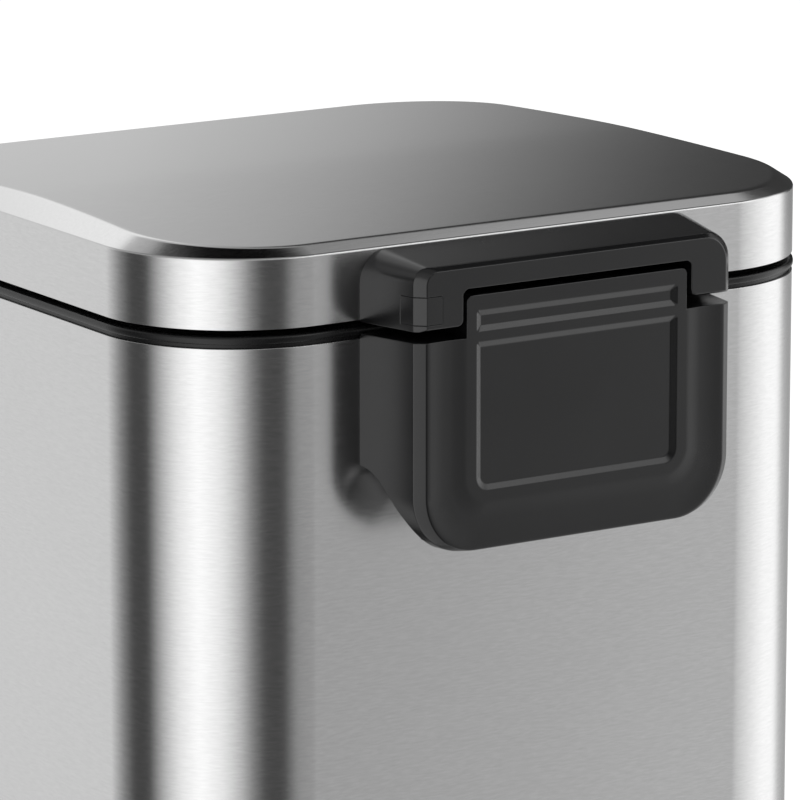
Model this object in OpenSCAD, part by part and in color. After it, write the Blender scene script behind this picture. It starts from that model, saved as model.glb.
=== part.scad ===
// Pedal bin in brushed steel, with a hinged lid, an inner bucket and a moulded hinge housing at the back.
// The origin is on the floor under the middle of the bin. +Z is up, the pedal is at -Y and the hinge at +Y.

/* [Can] */
// Width of the can across its back
can_w = 330; // [310:1:370]
// Depth of the can from front to back
can_d = 285; // [270:1:330]
// How much narrower the front of the can is than its back
can_taper = 23.5; // [0:0.5:40]
// Radius of the can's upright corners
corner_r = 60; // [50:1:70]
// Height of the steel body's top edge above the floor
body_top = 411; // [380:1:520]
// Height of the steel body's bottom edge above the floor
body_bottom = 14; // [11:0.5:18]
// Thickness of the steel sheet
sheet = 0.8; // [0.6:0.1:1]
// How far the folded edge of the sheet reaches inward
hem_w = 1.6; // [1.2:0.1:2]
// Height of the folded edge of the sheet
hem_h = 2; // [1.5:0.1:3]

/* [Rim] */
// Height of the narrow neck between the steel and the rim's bead
neck_h = 1.7; // [1:0.1:3]
// How far the neck is set back from the steel's face
neck_in = 1.2; // [0.8:0.1:2]
// Height of the rim's bead
bead_h = 3.2; // [2:0.1:6]
// How far the bead stands out past the steel
bead_out = 0.4; // [0:0.1:0.8]
// Width of the bead's flat top
bead_w = 6.4; // [5:0.1:8]
// Depth of the rim's wall inside the steel body
rim_drop = 9; // [6:0.5:14]
// Wall thickness of the moulded pieces
wall = 2.2; // [1.8:0.1:2.6]
// Distance from the can's face to the inner edge of the rim's ledge
ledge_in = 13; // [12:0.5:15]

/* [Lid] */
// Open gap between the rim's bead and the lid
lid_gap = 2.6; // [2:0.1:4]
// Height of the lid's upright skirt
skirt_h = 28.2; // [26:0.2:34]
// Height of the bevel between the skirt and the lid's top
bevel_h = 3.3; // [2:0.1:6]
// Width of the bevel at the lid's back and front edges
bevel_w = 6.7; // [4:0.1:9]
// Rise of the lid's arched top between its back and front edges
crown = 4.8; // [2:0.1:8]
// How fast the bevel widens along the sides as the arch rises
bevel_grow = 0.92; // [0.6:0.02:1.2]
// How far the lid opens, in degrees
lid_open = 80; // [60:1:80]
// Radius of the rubber buffers under the lid
buffer_r = 2; // [1.5:0.1:2]

/* [Hinge] */
// How far the hinge stands out from the can's back
hinge_out = 33; // [31:0.5:36]
// Half width of the hinge mouldings at the wall
hinge_half_wall = 83; // [80:0.5:88]
// Half width of the hinge mouldings at the back edge of their sides
hinge_half_side = 77; // [75:0.5:79]
// Half width of the mouldings' rear face
hinge_half_face = 73; // [71:0.5:74]
// Depth of the chamfer round the rear face
face_chamfer = 3.8; // [2:0.1:4.5]
// Half width of the notch between the two knuckles
notch_half = 55.7; // [52:0.1:58]
// Gap beside the fixed tongue in the notch
notch_gap = 2; // [1:0.1:3]
// Height of the hinge pin above the lid's lower edge
pin_rise = 7.5; // [7:0.1:8.5]
// Distance from the rear face to the pin's axis
pin_in = 8; // [7.5:0.1:8.5]
// Radius of the hinge pin
pin_r = 2.5; // [2:0.1:3]
// Radial play between a pin and its bore
pin_play = 0.05; // [0.02:0.01:0.08]
// Height of the tongue's top above the pin's axis
tongue_rise = 4.1; // [3.8:0.1:4.4]
// Height of the notch's top edge above the pin's axis
notch_rise = 7.1; // [6.8:0.1:7.6]
// Radius of the bracket's upper corner on the side of the pin cover
bracket_corner = 7; // [6:0.5:12]
// Radius of the bracket's other upper corner
far_corner = 12; // [8:0.5:14]
// Radius of the notch's and the tongue's upper corners
notch_corner = 3; // [1.5:0.1:4]
// How far the housing's and the tongue's face is set back from the bracket's face
face_step = 0.4; // [0.3:0.1:0.8]
// Play between the knuckles' undersides and the housing's shoulders
shoulder_gap = 4.4; // [4.2:0.1:6]

/* [Housing] */
// Height of the housing below its shoulders
housing_h = 86.5; // [80:0.5:96]
// How much higher the housing ends at the wall than at its rear face
chin_lift = 18; // [12:1:24]
// How much higher the sides' lower edges end at the wall than the rear face's lower edge
side_lift = 32.7; // [26:0.1:36]
// Radius of the housing's lower corners
housing_corner = 24; // [20:1:30]
// Height by which the raised panel stands over the side wings
panel_raise = 1.2; // [0.6:0.1:1.6]
// Depth of the bevelled recesses in the rear face
recess_depth = 1.4; // [0.8:0.1:1.6]
// Width of the bevel round a recess
recess_bevel = 2.6; // [1.5:0.1:3.5]
// Half width of the recesses
recess_half = 49; // [44:0.5:51]
// Height of the narrow upper recess
band_h = 8.9; // [7:0.1:9.5]
// Height of the large recess
pane_h = 60.6; // [52:0.2:64]

/* [Opening gear] */
// Distance between the hinge pin and the crank pins
crank_r = 16; // [14:0.5:17]
// Radius of the crank pins
crank_pin_r = 2; // [1.5:0.1:2.2]
// Diameter of the push rod
rod_d = 5; // [4:0.5:5]
// Distance of the rod's axis from the inside of the back wall
rod_in = 5.4; // [5:0.1:6]
// Distance of the damper from the push rod
damper_x = 28; // [24:1:34]
// Radius of the damper's body
damper_r = 6.5; // [5.5:0.1:7]
// Length of the damper's body
damper_len = 42; // [38:1:44]
// Radius of the pedal's axle
axle_r = 3; // [2.5:0.1:3.5]
// Height of the pedal's axle above the floor
axle_z = 21; // [20:0.5:24]
// Half distance between the axle's two bearings
bearing_x = 46; // [40:1:60]

/* [Pedal] */
// How far the pedal stands out from the can's front
pedal_out = 33; // [28:0.5:40]
// Width of the pedal's tread
tread_w = 104; // [80:1:120]
// Thickness of the tread
tread_t = 9; // [7:0.5:10]
// Width of the pedal's steel lever
lever_w = 50; // [40:1:56]
// Thickness of the lever's steel
lever_t = 3; // [2:0.5:3.5]

/* [Base and bucket] */
// Height of the rubber feet
foot_h = 4; // [3:0.5:6]
// Radius of the rubber feet
foot_r = 10; // [8:0.5:12]
// Height of the base's deck above the floor
deck_z = 50; // [48:1:60]
// Draw-in of the bucket's walls from top to bottom
bucket_draft = 6; // [3:0.5:10]
// Clear height between the deck and the bucket
bucket_lift_gap = 3.5; // [2:0.5:8]
// Length of the hand holes in the bucket's sides
grip_w = 90; // [80:1:110]
// Height of the hand holes
grip_h = 22; // [20:1:30]

/* [Hidden] */
$fn = 72;

// Small play between pieces that are fixed to each other
seat = 0.2;
// Working gap between pieces that move past each other
run = 0.5;
// Thickness of the slices between which a form is stretched
thin = 0.01;
// Overshoot of a cutting tool past the face that it cuts
past = 1;
// Wall thickness of the hinge mouldings
skin = 2.6;

// Plan of the can: the sides lean in towards the front, and each corner is an arc about a fixed centre
half_w = can_w / 2;
half_d = can_d / 2;
lean = atan(can_taper / 2 / can_d);
core_y = half_d - corner_r;
function core_x(y) = (half_w * cos(lean) - half_d * sin(lean) - corner_r + y * sin(lean)) / cos(lean);
function side_tangents(r) = [
    [core_x(core_y), core_y + r],
    [core_x(core_y) + r * cos(lean), core_y - r * sin(lean)],
    [core_x(-core_y) + r * cos(lean), -core_y - r * sin(lean)],
    [core_x(-core_y), -core_y - r]
];

// Heights of the rim and the lid
bead_z = body_top + neck_h;
bead_top = bead_z + bead_h;
ledge_z = bead_z + 0.2;
skirt_z = bead_top + lid_gap;
skirt_top = skirt_z + skirt_h;
lid_edge = skirt_top + bevel_h;

// Hinge: places of the faces, the pin and the cranks
wall_y = half_d;
face_y = wall_y + hinge_out;
side_y = face_y - face_chamfer;
pin_y = face_y - pin_in;
pin_z = skirt_z + pin_rise;
tongue_half = notch_half - notch_gap;
bracket_z = skirt_z - 0.8;
shoulder_z = bracket_z - shoulder_gap;
chin_z = shoulder_z - housing_h;
rear_y = face_y - face_step;
wing_y = rear_y - panel_raise;
hub_r = 4.4;
fork_half = 6.5;
fork_gap = 3.2;
crank_y = pin_y - crank_r * cos(lid_open / 2);
crank_z = pin_z - crank_r * sin(lid_open / 2);
stroke = 2 * crank_r * sin(lid_open / 2);
crank_slack = crank_r * (1 - cos(lid_open / 2));
crank_xs = [0, damper_x];
head_slot_h = 2 * crank_pin_r + 1.2;
head_half = 2.6;
pocket_y = wall_y + wall + 0.5;
cover_x = 65.5;
cover_h = 11.2;
cover_y = pin_y - 2.7;

// Opening gear inside the can
rod_r = rod_d / 2;
rod_y = wall_y - sheet - rod_in;
swing = 2 * atan(stroke / 2 / rod_y);
jog_z = chin_z + chin_lift + skin + rod_r + 2;
slot_half = rod_r + 3;
lever_tilt = swing / 2;

// Bucket and its flange
flange_in = bead_w - bead_out + 0.6;
bucket_in = ledge_in + 1;
bucket_bottom = deck_z + wall + bucket_lift_gap;
bucket_top = ledge_z + wall;

// Shapes drawn in the XZ plane and pushed along Y, or drawn in the YZ plane and pushed along X
module along_y(y0, y1) {
    translate([0, y1, 0]) rotate([90, 0, 0]) linear_extrude(y1 - y0) children();
}
module along_x(x0, x1) {
    translate([x0, 0, 0]) rotate([90, 0, 90]) linear_extrude(x1 - x0) children();
}
module box(x0, x1, y0, y1, z0, z1) {
    translate([x0, y0, z0]) cube([x1 - x0, y1 - y0, z1 - z0]);
}
module rod_x(x0, x1, y, z, r) {
    translate([x0, y, z]) rotate([0, 90, 0]) cylinder(h = x1 - x0, r = r);
}
module rod_along_y(x, y0, y1, z, r) {
    translate([x, y0, z]) rotate([-90, 0, 0]) cylinder(h = y1 - y0, r = r);
}

// Plan outline of the can, drawn in by a distance all round
module plan(inset) {
    r = corner_r - inset;
    right = side_tangents(r);
    left = [for (i = [len(right) - 1:-1:0]) [-right[i][0], right[i][1]]];
    polygon(concat(right, left));
    for (sx = [-1, 1], sy = [-1, 1])
        translate([sx * core_x(sy * core_y), sy * core_y]) circle(r);
}
// Upright wall between two plan outlines
module band(outer, inner, z0, z1) {
    translate([0, 0, z0]) linear_extrude(z1 - z0)
        difference() {
            plan(outer);
            plan(inner);
        }
}
module slab(inset, z0, z1) {
    translate([0, 0, z0]) linear_extrude(z1 - z0) plan(inset);
}

module outer_shell() {
    color("silver")
        difference() {
            union() {
                band(0, sheet, body_bottom, body_top);
                band(sheet / 2, hem_w, body_top - hem_h, body_top);
                band(sheet / 2, hem_w, body_bottom, body_bottom + hem_h);
            }
            // Slot that lets the push rod through into the housing
            box(-slot_half, slot_half, wall_y - 5, wall_y + past, jog_z - rod_r - 2,
                jog_z + stroke + rod_r + 2);
            // Cut-out for the pedal's lever
            pedal_gate(lever_w / 2 + 6);
            for (p = screw_points)
                rod_along_y(p[0], wall_y - 5, wall_y + past, p[1], screw_r + 0.3);
        }
}

// Space that the pedal's lever sweeps through the front wall
gate_top = axle_z + half_d * tan(lever_tilt) + lever_t + 6;
module pedal_gate(half) {
    box(-half, half, -half_d - past, -half_d + 12, -past, gate_top);
}

module body_rim() {
    inner_face = hem_w + seat;
    color([0.16, 0.16, 0.17])
        union() {
            band(inner_face, inner_face + wall, body_top - rim_drop, body_top + past);
            band(neck_in, ledge_in, body_top, bead_z);
            band(-bead_out, bead_w - bead_out, bead_z, bead_top);
            band(bead_w - bead_out - past, ledge_in, bead_z - 0.5, ledge_z);
        }
}

// Base: a plinth under the steel, an upstand inside it and a deck with ribs and bearings below
foot_spot = 32;
foot_xs = [core_x(core_y) + corner_r - foot_spot, core_x(-core_y) + corner_r - foot_spot];
foot_points = [
    [foot_xs[0], half_d - foot_spot],
    [-foot_xs[0], half_d - foot_spot],
    [foot_xs[1], -half_d + foot_spot],
    [-foot_xs[1], -half_d + foot_spot]
];
plinth_in = 0.6;
upstand_in = hem_w + seat;
rib_t = 2;
bearing_t = 6;
boss_r = 9;
tongue_w = 16;
groove_half = tongue_w / 2 + 1.5;
module bearing(x) {
    along_x(x - bearing_t / 2, x + bearing_t / 2) {
        translate([0, axle_z]) circle(boss_r);
        translate([-boss_r, axle_z]) square([2 * boss_r, deck_z - axle_z + past / 2]);
    }
}
module base_pan() {
    color([0.1, 0.1, 0.11])
        difference() {
            union() {
                band(plinth_in, upstand_in + wall, foot_h, body_bottom);
                band(upstand_in, upstand_in + wall, foot_h, deck_z + wall);
                slab(upstand_in, deck_z, deck_z + wall);
                // Posts over the feet
                for (p = foot_points)
                    translate([p[0], p[1], foot_h]) cylinder(h = deck_z - foot_h + past / 2,
                        r = foot_r + 2);
                // Stiffening ribs under the deck
                for (x = [-1, 1])
                    intersection() {
                        box(x * 76 - rib_t / 2, x * 76 + rib_t / 2, -half_d, half_d, deck_z - 14,
                            deck_z + 0.5);
                        slab(upstand_in + 0.5, deck_z - 14, deck_z + 0.5);
                    }
                for (y = [-56, 56])
                    for (s = [-1, 1])
                        intersection() {
                            box(min(s * bearing_x, s * half_w), max(s * bearing_x, s * half_w),
                                y - rib_t / 2, y + rib_t / 2, deck_z - 14, deck_z + 0.5);
                            slab(upstand_in + 0.5, deck_z - 14, deck_z + 0.5);
                        }
                for (s = [-1, 1]) bearing(s * bearing_x);
            }
            pedal_gate(lever_w / 2 + 5);
            // Way for the push rod and the end of the lever, up the back wall and through the deck
            box(-groove_half, groove_half, rod_y - slot_half, wall_y - plinth_in - wall, foot_h - past,
                deck_z + wall + past);
            rod_x(-bearing_x - bearing_t, bearing_x + bearing_t, 0, axle_z, axle_r + pin_play);
            for (p = foot_points)
                translate([p[0], p[1], foot_h - past]) cylinder(h = foot_grip + 2 + past,
                    r = foot_screw_r + pin_play);
        }
}
foot_screw_r = 2;
foot_head_r = 4.5;
foot_grip = 3 * foot_h;
module rubber_feet() {
    color([0.07, 0.07, 0.07])
        for (p = foot_points)
            translate([p[0], p[1], 0])
                difference() {
                    cylinder(h = foot_h, r = foot_r);
                    translate([0, 0, -past]) cylinder(h = foot_h + 2 * past, r = foot_screw_r + 0.3);
                    translate([0, 0, -past]) cylinder(h = past + foot_h / 2, r = foot_head_r + 0.5);
                }
}
module foot_screws() {
    color([0.6, 0.6, 0.6])
        for (p = foot_points)
            translate([p[0], p[1], 0]) {
                translate([0, 0, foot_h / 2 - 1.2]) cylinder(h = 1.2, r = foot_head_r);
                translate([0, 0, foot_h / 2 - 0.5]) cylinder(h = foot_h / 2 + foot_grip, r = foot_screw_r);
            }
}

clip_t = 1;
axle_half = bearing_x + bearing_t / 2 + clip_t + 2.5;
module pedal_axle() {
    color([0.7, 0.7, 0.72]) rod_x(-axle_half, axle_half, 0, axle_z, axle_r);
}
module axle_clips() {
    clip_x = bearing_x + bearing_t / 2 + seat;
    color([0.5, 0.5, 0.5])
        for (s = [-1, 1])
            difference() {
                rod_x(s > 0 ? clip_x : -clip_x - clip_t, s > 0 ? clip_x + clip_t : -clip_x, 0, axle_z,
                    axle_r + 2.5);
                rod_x(-axle_half - past, axle_half + past, 0, axle_z, axle_r + pin_play / 2);
            }
}

// Hinge mouldings. Both have sides that draw in from the wall, then a chamfer to the rear face.
// Underside of the housing: an S curve from the wall down to the chin
chin_edge = 3;
chin_steps = 12;
chin_curve = [
    for (i = [0:chin_steps])
        let (t = i / chin_steps)
            [wall_y + t * (wing_y - chin_edge - wall_y), chin_z + chin_lift * (1 + cos(180 * t)) / 2]
];
module housing_side(top) {
    polygon(concat(chin_curve, [[wing_y, chin_z + chin_edge], [wing_y, top], [wall_y, top]]));
}
// Rear outline with rounded lower corners
module housing_front(half, bottom, top, r) {
    translate([-half, bottom + r]) square([2 * half, top - bottom - r]);
    translate([-half + r, bottom]) square([2 * (half - r), r + past]);
    for (s = [-1, 1]) translate([s * (half - r), bottom + r]) circle(r);
}
// Curve of the sides' lower edges, which stay flat at the wall and drop towards the rear face
cut_in = 69.5;
side_curve = [
    for (i = [0:chin_steps])
        let (t = i / chin_steps) [wall_y + t * (side_y - wall_y), chin_z + side_lift * cos(85 * t)]
];
module housing_slice(y, half, bottom) {
    along_y(y, y + thin) housing_front(half, bottom, shoulder_z, housing_corner, $fn = 48);
}
module housing_form() {
    difference() {
        intersection() {
            hull() {
                housing_slice(wall_y, hinge_half_wall, chin_z);
                housing_slice(wing_y - face_chamfer, hinge_half_side, chin_z);
                housing_slice(wing_y - thin, hinge_half_face, chin_z);
            }
            along_x(-hinge_half_wall, hinge_half_wall) housing_side(shoulder_z);
        }
        for (x = [-hinge_half_wall - past, cut_in])
            along_x(x, x + hinge_half_wall + past - cut_in)
                polygon(concat([[wall_y - past, chin_z - past], [wall_y - past, side_curve[0][1]]],
                    side_curve, [[side_y, chin_z - past]]));
    }
}
// Recess with bevelled sides; the lower corners can be rounded
module recess(top, bottom, r) {
    deep = rear_y - recess_depth;
    hull() {
        along_y(rear_y, rear_y + 0.6) housing_front(recess_half, bottom, top, r);
        along_y(deep, deep + 0.01)
            housing_front(recess_half - recess_bevel, bottom + recess_bevel, top - recess_bevel,
                max(r - recess_bevel, 0.6), $fn = 32);
    }
}
band_top = pin_z - 2;
pane_top = band_top - band_h - 3.8;
pane_bottom = pane_top - pane_h;
panel_half = notch_half;
panel_bottom = pane_bottom - 5;
tongue_y = pin_y - 8.2;
tongue_top = pin_z + tongue_rise;
tongue_round = 1.2;
tongue_z = shoulder_z - 8;
module tongue_profile() {
    translate([tongue_y, tongue_z]) square([rear_y - tongue_y, tongue_top - tongue_round - tongue_z]);
    translate([tongue_y + tongue_round, shoulder_z]) square([rear_y - tongue_y - 2 * tongue_round,
        tongue_top - shoulder_z]);
    for (y = [tongue_y + tongue_round, rear_y - tongue_round])
        translate([y, tongue_top - tongue_round]) circle(tongue_round);
}
screw_r = 1.9;
screw_head_r = 4;
screw_x = 64;
screw_points = [
    for (z = [shoulder_z - 24, shoulder_z - 60])
        for (s = [-1, 1]) [s * screw_x, z]
];
screw_boss_r = 4.6;
screw_reach = 0.6 * hinge_out;
cavity_top = shoulder_z - skin;
cavity_bottom = chin_z + chin_lift + skin;
fork_slot = fork_half + 1;
fork_slot_y = pin_y + hub_r + run;
damper_pin_z = cavity_bottom + 4;
damper_z = damper_pin_z + 5;
damper_rib_x = [damper_x - 6.6, damper_x + 4.2];
damper_rib_t = 2.4;
module hinge_housing() {
    color([0.17, 0.17, 0.18])
        difference() {
            union() {
                difference() {
                    union() {
                        housing_form();
                        // Raised panel
                        along_y(wing_y - past, rear_y)
                            housing_front(panel_half, panel_bottom, shoulder_z, 12);
                    }
                    // Hollow behind the rear face, open towards the can
                    box(-cut_in + skin, cut_in - skin, wall_y - past, wing_y - skin, cavity_bottom,
                        cavity_top);
                }
                intersection() {
                    along_x(-tongue_half, tongue_half) tongue_profile();
                    along_y(tongue_y - past, rear_y + past)
                        notch_outline(tongue_half, tongue_z - past, tongue_top);
                }
                for (p = screw_points)
                    rod_along_y(p[0], wall_y, wing_y - skin + past / 2, p[1], screw_boss_r);
                // Ribs that carry the damper's pin
                for (x = damper_rib_x)
                    box(x, x + damper_rib_t, wall_y + 2, wing_y - skin + past / 2,
                        cavity_bottom - past / 2, damper_z - run);
            }
            // Rebate that clears the rim's bead
            box(-hinge_half_wall - past, hinge_half_wall + past, wall_y - past, wall_y + bead_out + seat,
                bead_z - seat, shoulder_z + past);
            recess(band_top, band_top - band_h, 0.6);
            recess(pane_top, pane_bottom, 6);
            // Slots for the cranks
            for (x = crank_xs)
                box(x - fork_slot, x + fork_slot, wall_y - past, fork_slot_y, cavity_top - 5,
                    tongue_top + past);
            rod_x(-tongue_half - past, tongue_half + past, pin_y, pin_z, pin_r + pin_play);
            for (p = screw_points)
                rod_along_y(p[0], wall_y - past, wall_y + screw_reach + 2, p[1], screw_r + pin_play);
            rod_x(damper_rib_x[0] - past, damper_rib_x[1] + damper_rib_t + past, crank_y, damper_pin_z,
                crank_pin_r + pin_play);
        }
}

plate_t = 1.5;
plate_margin = 2 * screw_head_r;
plate_half = screw_x + plate_margin;
plate_z = [screw_points[2][1] - plate_margin, screw_points[0][1] + plate_margin];
plate_y = wall_y - sheet - plate_t;
module backing_plate() {
    color([0.65, 0.65, 0.66])
        difference() {
            box(-plate_half, plate_half, plate_y, wall_y - sheet, plate_z[0], plate_z[1]);
            box(-slot_half, slot_half, plate_y - past, wall_y + past, plate_z[0] - past,
                jog_z + stroke + rod_r + 2);
            for (p = screw_points)
                rod_along_y(p[0], plate_y - past, wall_y, p[1], screw_r + 0.3);
        }
}
module housing_screws() {
    color([0.6, 0.6, 0.6])
        for (p = screw_points) {
            rod_along_y(p[0], plate_y - 2, plate_y, p[1], screw_head_r);
            rod_along_y(p[0], plate_y - 1, wall_y + screw_reach, p[1], screw_r);
        }
}

channel_half = 9;
channel_flange = 7;
channel_depth = 11;
channel_top = plate_z[0] - 1;
module rod_channel() {
    inner_y = wall_y - sheet - seat;
    front_y = inner_y - channel_depth;
    foot_z = deck_z + wall;
    color([0.2, 0.2, 0.21])
        difference() {
            union() {
                box(-channel_half, channel_half, front_y, inner_y, foot_z, channel_top);
                box(-channel_half - channel_flange, channel_half + channel_flange, inner_y - 1.5,
                    inner_y, foot_z + wall + hem_w, channel_top);
            }
            box(-channel_half + 1.6, channel_half - 1.6, front_y + 1.6, inner_y + past, foot_z - past,
                channel_top + past);
        }
}

pin_far = -hinge_half_face - 1;
pin_near = cover_x - 0.5;
module hinge_pin() {
    color([0.7, 0.7, 0.72]) rod_x(pin_far + 0.5, pin_near, pin_y, pin_z, pin_r);
}

damper_wall = 1.2;
damper_rod_r = 2;
lug_half = damper_rib_x[1] - damper_x - 0.4;
module damper_body() {
    color([0.25, 0.25, 0.27])
        difference() {
            union() {
                translate([damper_x, crank_y, damper_z]) cylinder(h = damper_len, r = damper_r);
                along_x(damper_x - lug_half, damper_x + lug_half) {
                    translate([crank_y, damper_pin_z]) circle(4);
                    translate([crank_y - 4, damper_pin_z]) square([8, damper_z - damper_pin_z + past]);
                }
            }
            translate([damper_x, crank_y, damper_z + 3]) cylinder(h = damper_len - 6,
                r = damper_r - damper_wall);
            translate([damper_x, crank_y, damper_z + damper_len - 4]) cylinder(h = 5,
                r = damper_rod_r + pin_play);
            rod_x(damper_x - 10, damper_x + 10, crank_y, damper_pin_z, crank_pin_r + pin_play);
        }
}
module damper_pin() {
    color([0.7, 0.7, 0.72])
        rod_x(damper_rib_x[0] + 0.2, damper_rib_x[1] + damper_rib_t - 0.2, crank_y, damper_pin_z,
            crank_pin_r);
}

// Lid: an upright skirt, a bevel and a top that arches from front to back
crown_shape = 1.56;
arc_steps = 10;
side_steps = 10;
// Right half of the can's outline, from the middle of the back edge round to the front
function right_outline(inset) =
    let (r = corner_r - inset, t = side_tangents(r)) concat(
        [for (i = [0:arc_steps]) let (a = 90 - (90 + lean) * i / arc_steps)
            [core_x(core_y) + r * cos(a), core_y + r * sin(a)]],
        [for (i = [1:side_steps - 1]) t[1] + (t[2] - t[1]) * i / side_steps],
        [for (i = [0:arc_steps]) let (a = -lean - (90 - lean) * i / arc_steps)
            [core_x(-core_y) + r * cos(a), -core_y + r * sin(a)]]
    );
function arch(y, reach) = crown * (1 - pow(min(abs(y) / reach, 1), crown_shape));
// The same half at one height, and as the lid's top edge, which rises with the arch and draws in as it rises
function level_half(inset, z) = [for (p = right_outline(inset)) [p[0], p[1], z]];
function top_half(inset, z) = [
    for (p = right_outline(inset))
        let (rise = arch(p[1], half_d - inset), share = pow(p[0] / (half_w - inset), 6))
            [p[0] - bevel_grow * rise * share, p[1], z + rise]
];
function mirrored(half) = [for (i = [len(half) - 1:-1:0]) [-half[i][0], half[i][1], half[i][2]]];
function ring(half) = concat(half, mirrored(half));
// Closed cap: a foot ring, a shoulder ring and the arched top edge, whose two halves are joined by strips
module lid_cap(inset, foot_z, shoulder, edge_z) {
    foot = ring(level_half(inset, foot_z));
    edge = ring(level_half(inset, shoulder));
    top = ring(top_half(bevel_w + inset, edge_z));
    n = len(foot);
    polyhedron(
        points = concat(foot, edge, top),
        faces = concat(
            [[for (i = [0:n - 1]) n - 1 - i]],
            [for (k = [0, n], i = [0:n - 1]) each [
                [k + i, k + (i + 1) % n, k + n + i],
                [k + (i + 1) % n, k + n + (i + 1) % n, k + n + i]
            ]],
            [for (i = [0:n / 2 - 2]) [2 * n + i, 2 * n + i + 1, 3 * n - 2 - i, 3 * n - 1 - i]]
        )
    );
}
module lid_shell() {
    lap = 0.1;
    color("silver")
        difference() {
            union() {
                band(0, sheet, skirt_z, skirt_top);
                band(sheet / 2, hem_w, skirt_z, skirt_z + hem_h);
                difference() {
                    lid_cap(lap, skirt_top - sheet, skirt_top, lid_edge);
                    lid_cap(sheet - lap, skirt_top - sheet - past, skirt_top - sheet, lid_edge - sheet);
                }
            }
            for (x = bracket_screw_xs)
                rod_along_y(x, wall_y - 5, wall_y + past, bracket_screw_z, screw_r + 0.3);
        }
}

liner_in = hem_w + seat;
lip_w = 4.4;
liner_z = skirt_z + 0.5;
liner_top = skirt_top - 3.5;
module lid_liner() {
    color([0.12, 0.12, 0.13])
        difference() {
            union() {
                band(liner_in, liner_in + wall, liner_z, liner_top);
                band(liner_in, liner_in + lip_w, liner_z, liner_z + wall);
                slab(liner_in, liner_top - wall, liner_top);
                // Ribs above the panel
                for (x = [-90, -45, 0, 45, 90])
                    box(x - rib_t / 2, x + rib_t / 2, -half_d + 32, half_d - 32, liner_top - past / 2,
                        liner_top + 4);
            }
            for (x = bracket_screw_xs)
                rod_along_y(x, wall_y - liner_in - lip_w, wall_y + past, bracket_screw_z, screw_r + 0.3);
        }
}
buffer_x = 0.36 * half_w;
module lid_buffers() {
    y = half_d - liner_in - lip_w / 2;
    color([0.07, 0.07, 0.07])
        for (x = [-buffer_x, buffer_x], s = [-1, 1])
            translate([x, s * y, bead_top]) cylinder(h = liner_z - bead_top, r = buffer_r);
}

// Lid bracket: a hollow moulding with two knuckles and a notch between them
bracket_top = skirt_top - 0.5;
bracket_slope = 3;
bracket_edge = 1.7;
top_edge = 2.2;
wall_corner = 13;
bracket_screw_z = bracket_top - 10;
bracket_screw_xs = [-66, -24, 24, 66];
// Pockets between the screws, open towards the lid: half width and middle of each
bracket_pockets = [[13, -43], [18, 0], [13, 43]];
pocket_depth = 14;
bracket_screw_len = 12;
web_z = pin_z + notch_rise + skin;
// Thin slice of the bracket at one depth, with rounded upper corners
module bracket_slice(y, half, bottom, top, r_cover, r_far) {
    along_y(y, y + thin) {
        translate([half - r_cover, top - r_cover]) circle(r_cover, $fn = 48);
        translate([-half + r_far, top - r_far]) circle(r_far, $fn = 48);
        translate([-half, bottom]) square([2 * half, past]);
    }
}
// Height of the bracket's sloping top and half width of its chamfered sides, at a depth
function top_at(y) = bracket_top - bracket_slope * (y - wall_y) / (side_y - wall_y);
function half_at(y) = hinge_half_side - (hinge_half_side - hinge_half_face) * (y - side_y) / face_chamfer;
module bracket_form() {
    edge_y = face_y - top_edge;
    rear_top = top_at(edge_y) - bracket_edge;
    hull() {
        bracket_slice(wall_y, hinge_half_wall, bracket_z, bracket_top, wall_corner, wall_corner);
        bracket_slice(side_y - thin, hinge_half_side, bracket_z, top_at(side_y), bracket_corner,
            far_corner);
        bracket_slice(edge_y - thin, half_at(edge_y), bracket_z, top_at(edge_y), bracket_corner,
            far_corner);
        bracket_slice(face_y - thin, hinge_half_face, bracket_z + 1, rear_top,
            bracket_corner - bracket_edge, far_corner - bracket_edge);
    }
}
// Outline of the notch or the tongue seen from behind, with rounded upper corners
module notch_outline(half, bottom, top) {
    translate([-half, bottom]) square([2 * half, top - bottom - notch_corner]);
    translate([-half + notch_corner, bottom]) square([2 * (half - notch_corner), top - bottom]);
    for (s = [-1, 1]) translate([s * (half - notch_corner), top - notch_corner]) circle(notch_corner);
}
// Rounded lower ends of the notch
module notch_foot(half, bottom, r) {
    for (s = [-1, 1])
        difference() {
            translate([s > 0 ? half - past : -half - r, bottom - past]) square([r + past, r + past]);
            translate([s * (half + r), bottom + r]) circle(r);
        }
}
module crank(x) {
    for (s = [-1, 1])
        along_x(x + (s > 0 ? fork_gap : -fork_half), x + (s > 0 ? fork_half : -fork_gap)) {
            translate([pin_y, pin_z]) circle(hub_r);
            translate([crank_y, crank_z]) circle(crank_pin_r + 2.4);
            translate([pin_y, pin_z]) rotate(180 + lid_open / 2) translate([0, -4]) square([crank_r, 8]);
            // Neck that runs forward to the bracket's front web
            polygon([
                [pocket_y - past, pin_z], [pin_y, pin_z],
                [pin_y - hub_r * sin(45), pin_z + hub_r * sin(45)],
                [pin_y - 2 * hub_r, pin_z + notch_rise + past],
                [pocket_y - past, pin_z + notch_rise + past]
            ]);
        }
}
notch_top_r = norm([pin_in, tongue_rise]) + 0.5;
notch_foot_r = 2.3;
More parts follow.
